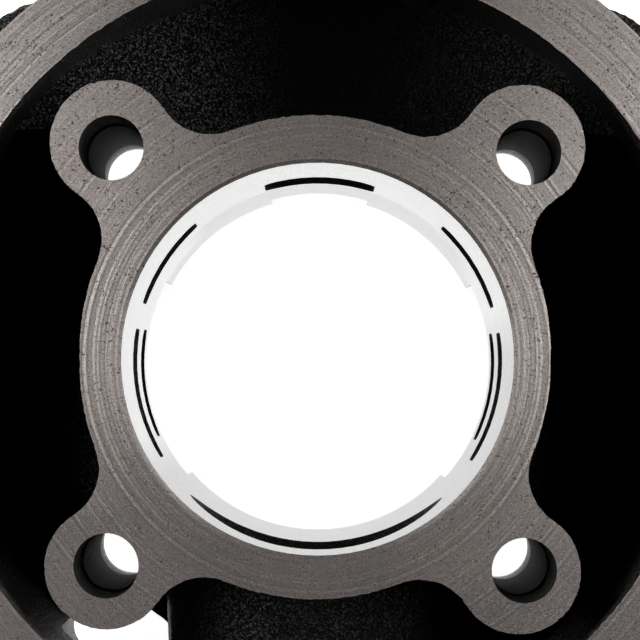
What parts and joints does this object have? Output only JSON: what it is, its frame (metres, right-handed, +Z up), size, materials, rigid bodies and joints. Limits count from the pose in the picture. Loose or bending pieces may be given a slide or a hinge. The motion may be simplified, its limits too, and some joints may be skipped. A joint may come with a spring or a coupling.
{
  "type": "engine cylinder",
  "caption": "Liquid-cooled two-stroke cylinder cast in one piece: ported bore, open-topped water jacket, stud bosses, base flange, slotted skirt and side exhaust flange.",
  "frame": {"origin": "on the bore axis, in the plane of the base gasket face", "axes": "+Z up the bore to the head face, -Y out of the exhaust outlet, +X to the right when the exhaust side is in front"},
  "size_m": [0.1092, 0.1166, 0.085],
  "materials": {
    "casting": "cast iron, painted black as cast, with bare machined head face, bore and base face"
  },
  "bodies": {
    "root": {"cylinder_casting": "casting"}
  },
  "joints": []
}
